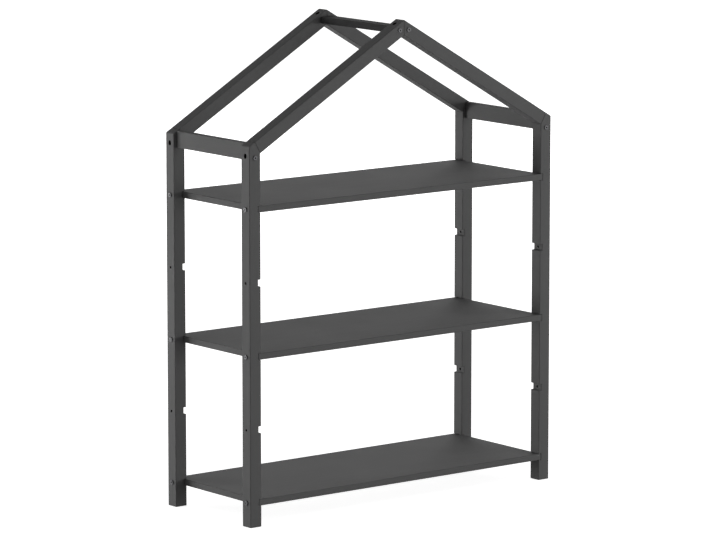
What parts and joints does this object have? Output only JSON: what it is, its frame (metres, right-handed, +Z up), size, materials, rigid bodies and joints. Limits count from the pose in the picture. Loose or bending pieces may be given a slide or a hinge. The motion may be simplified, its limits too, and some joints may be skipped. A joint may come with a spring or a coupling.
{
  "type": "house-shaped kids shelf",
  "caption": "Open house-shaped shelf for a child's room: square timber gables joined by rails, with flat boards that sit in housings in the posts.",
  "frame": {"origin": "on the floor, under the middle of the frame", "axes": "+X to the viewer's right across the front, +Y from the front gable to the back one, +Z up"},
  "size_m": [1.005, 0.365, 1.2721],
  "materials": {
    "painted_wood": "satin dark grey paint on planed wood",
    "screw_steel": "dark nickel plated",
    "dowel_wood": "bare beech"
  },
  "bodies": {
    "root": {"post_front_left": "painted_wood", "post_front_right": "painted_wood", "post_back_left": "painted_wood", "post_back_right": "painted_wood", "rafter_front_left": "painted_wood", "rafter_front_right": "painted_wood", "rafter_back_left": "painted_wood", "rafter_back_right": "painted_wood", "eave_rail_left": "painted_wood", "eave_rail_right": "painted_wood", "ridge_rail": "painted_wood", "shelf_bottom": "painted_wood", "shelf_middle": "painted_wood", "shelf_top": "painted_wood", "shelf_screws_bottom": "screw_steel", "shelf_screws_middle": "screw_steel", "shelf_screws_top": "screw_steel", "roof_screws": "screw_steel", "peak_screws": "screw_steel", "rail_screws": "screw_steel", "ridge_screws": "screw_steel", "rafter_dowels": "dowel_wood", "rail_dowels": "dowel_wood"}
  },
  "joints": []
}
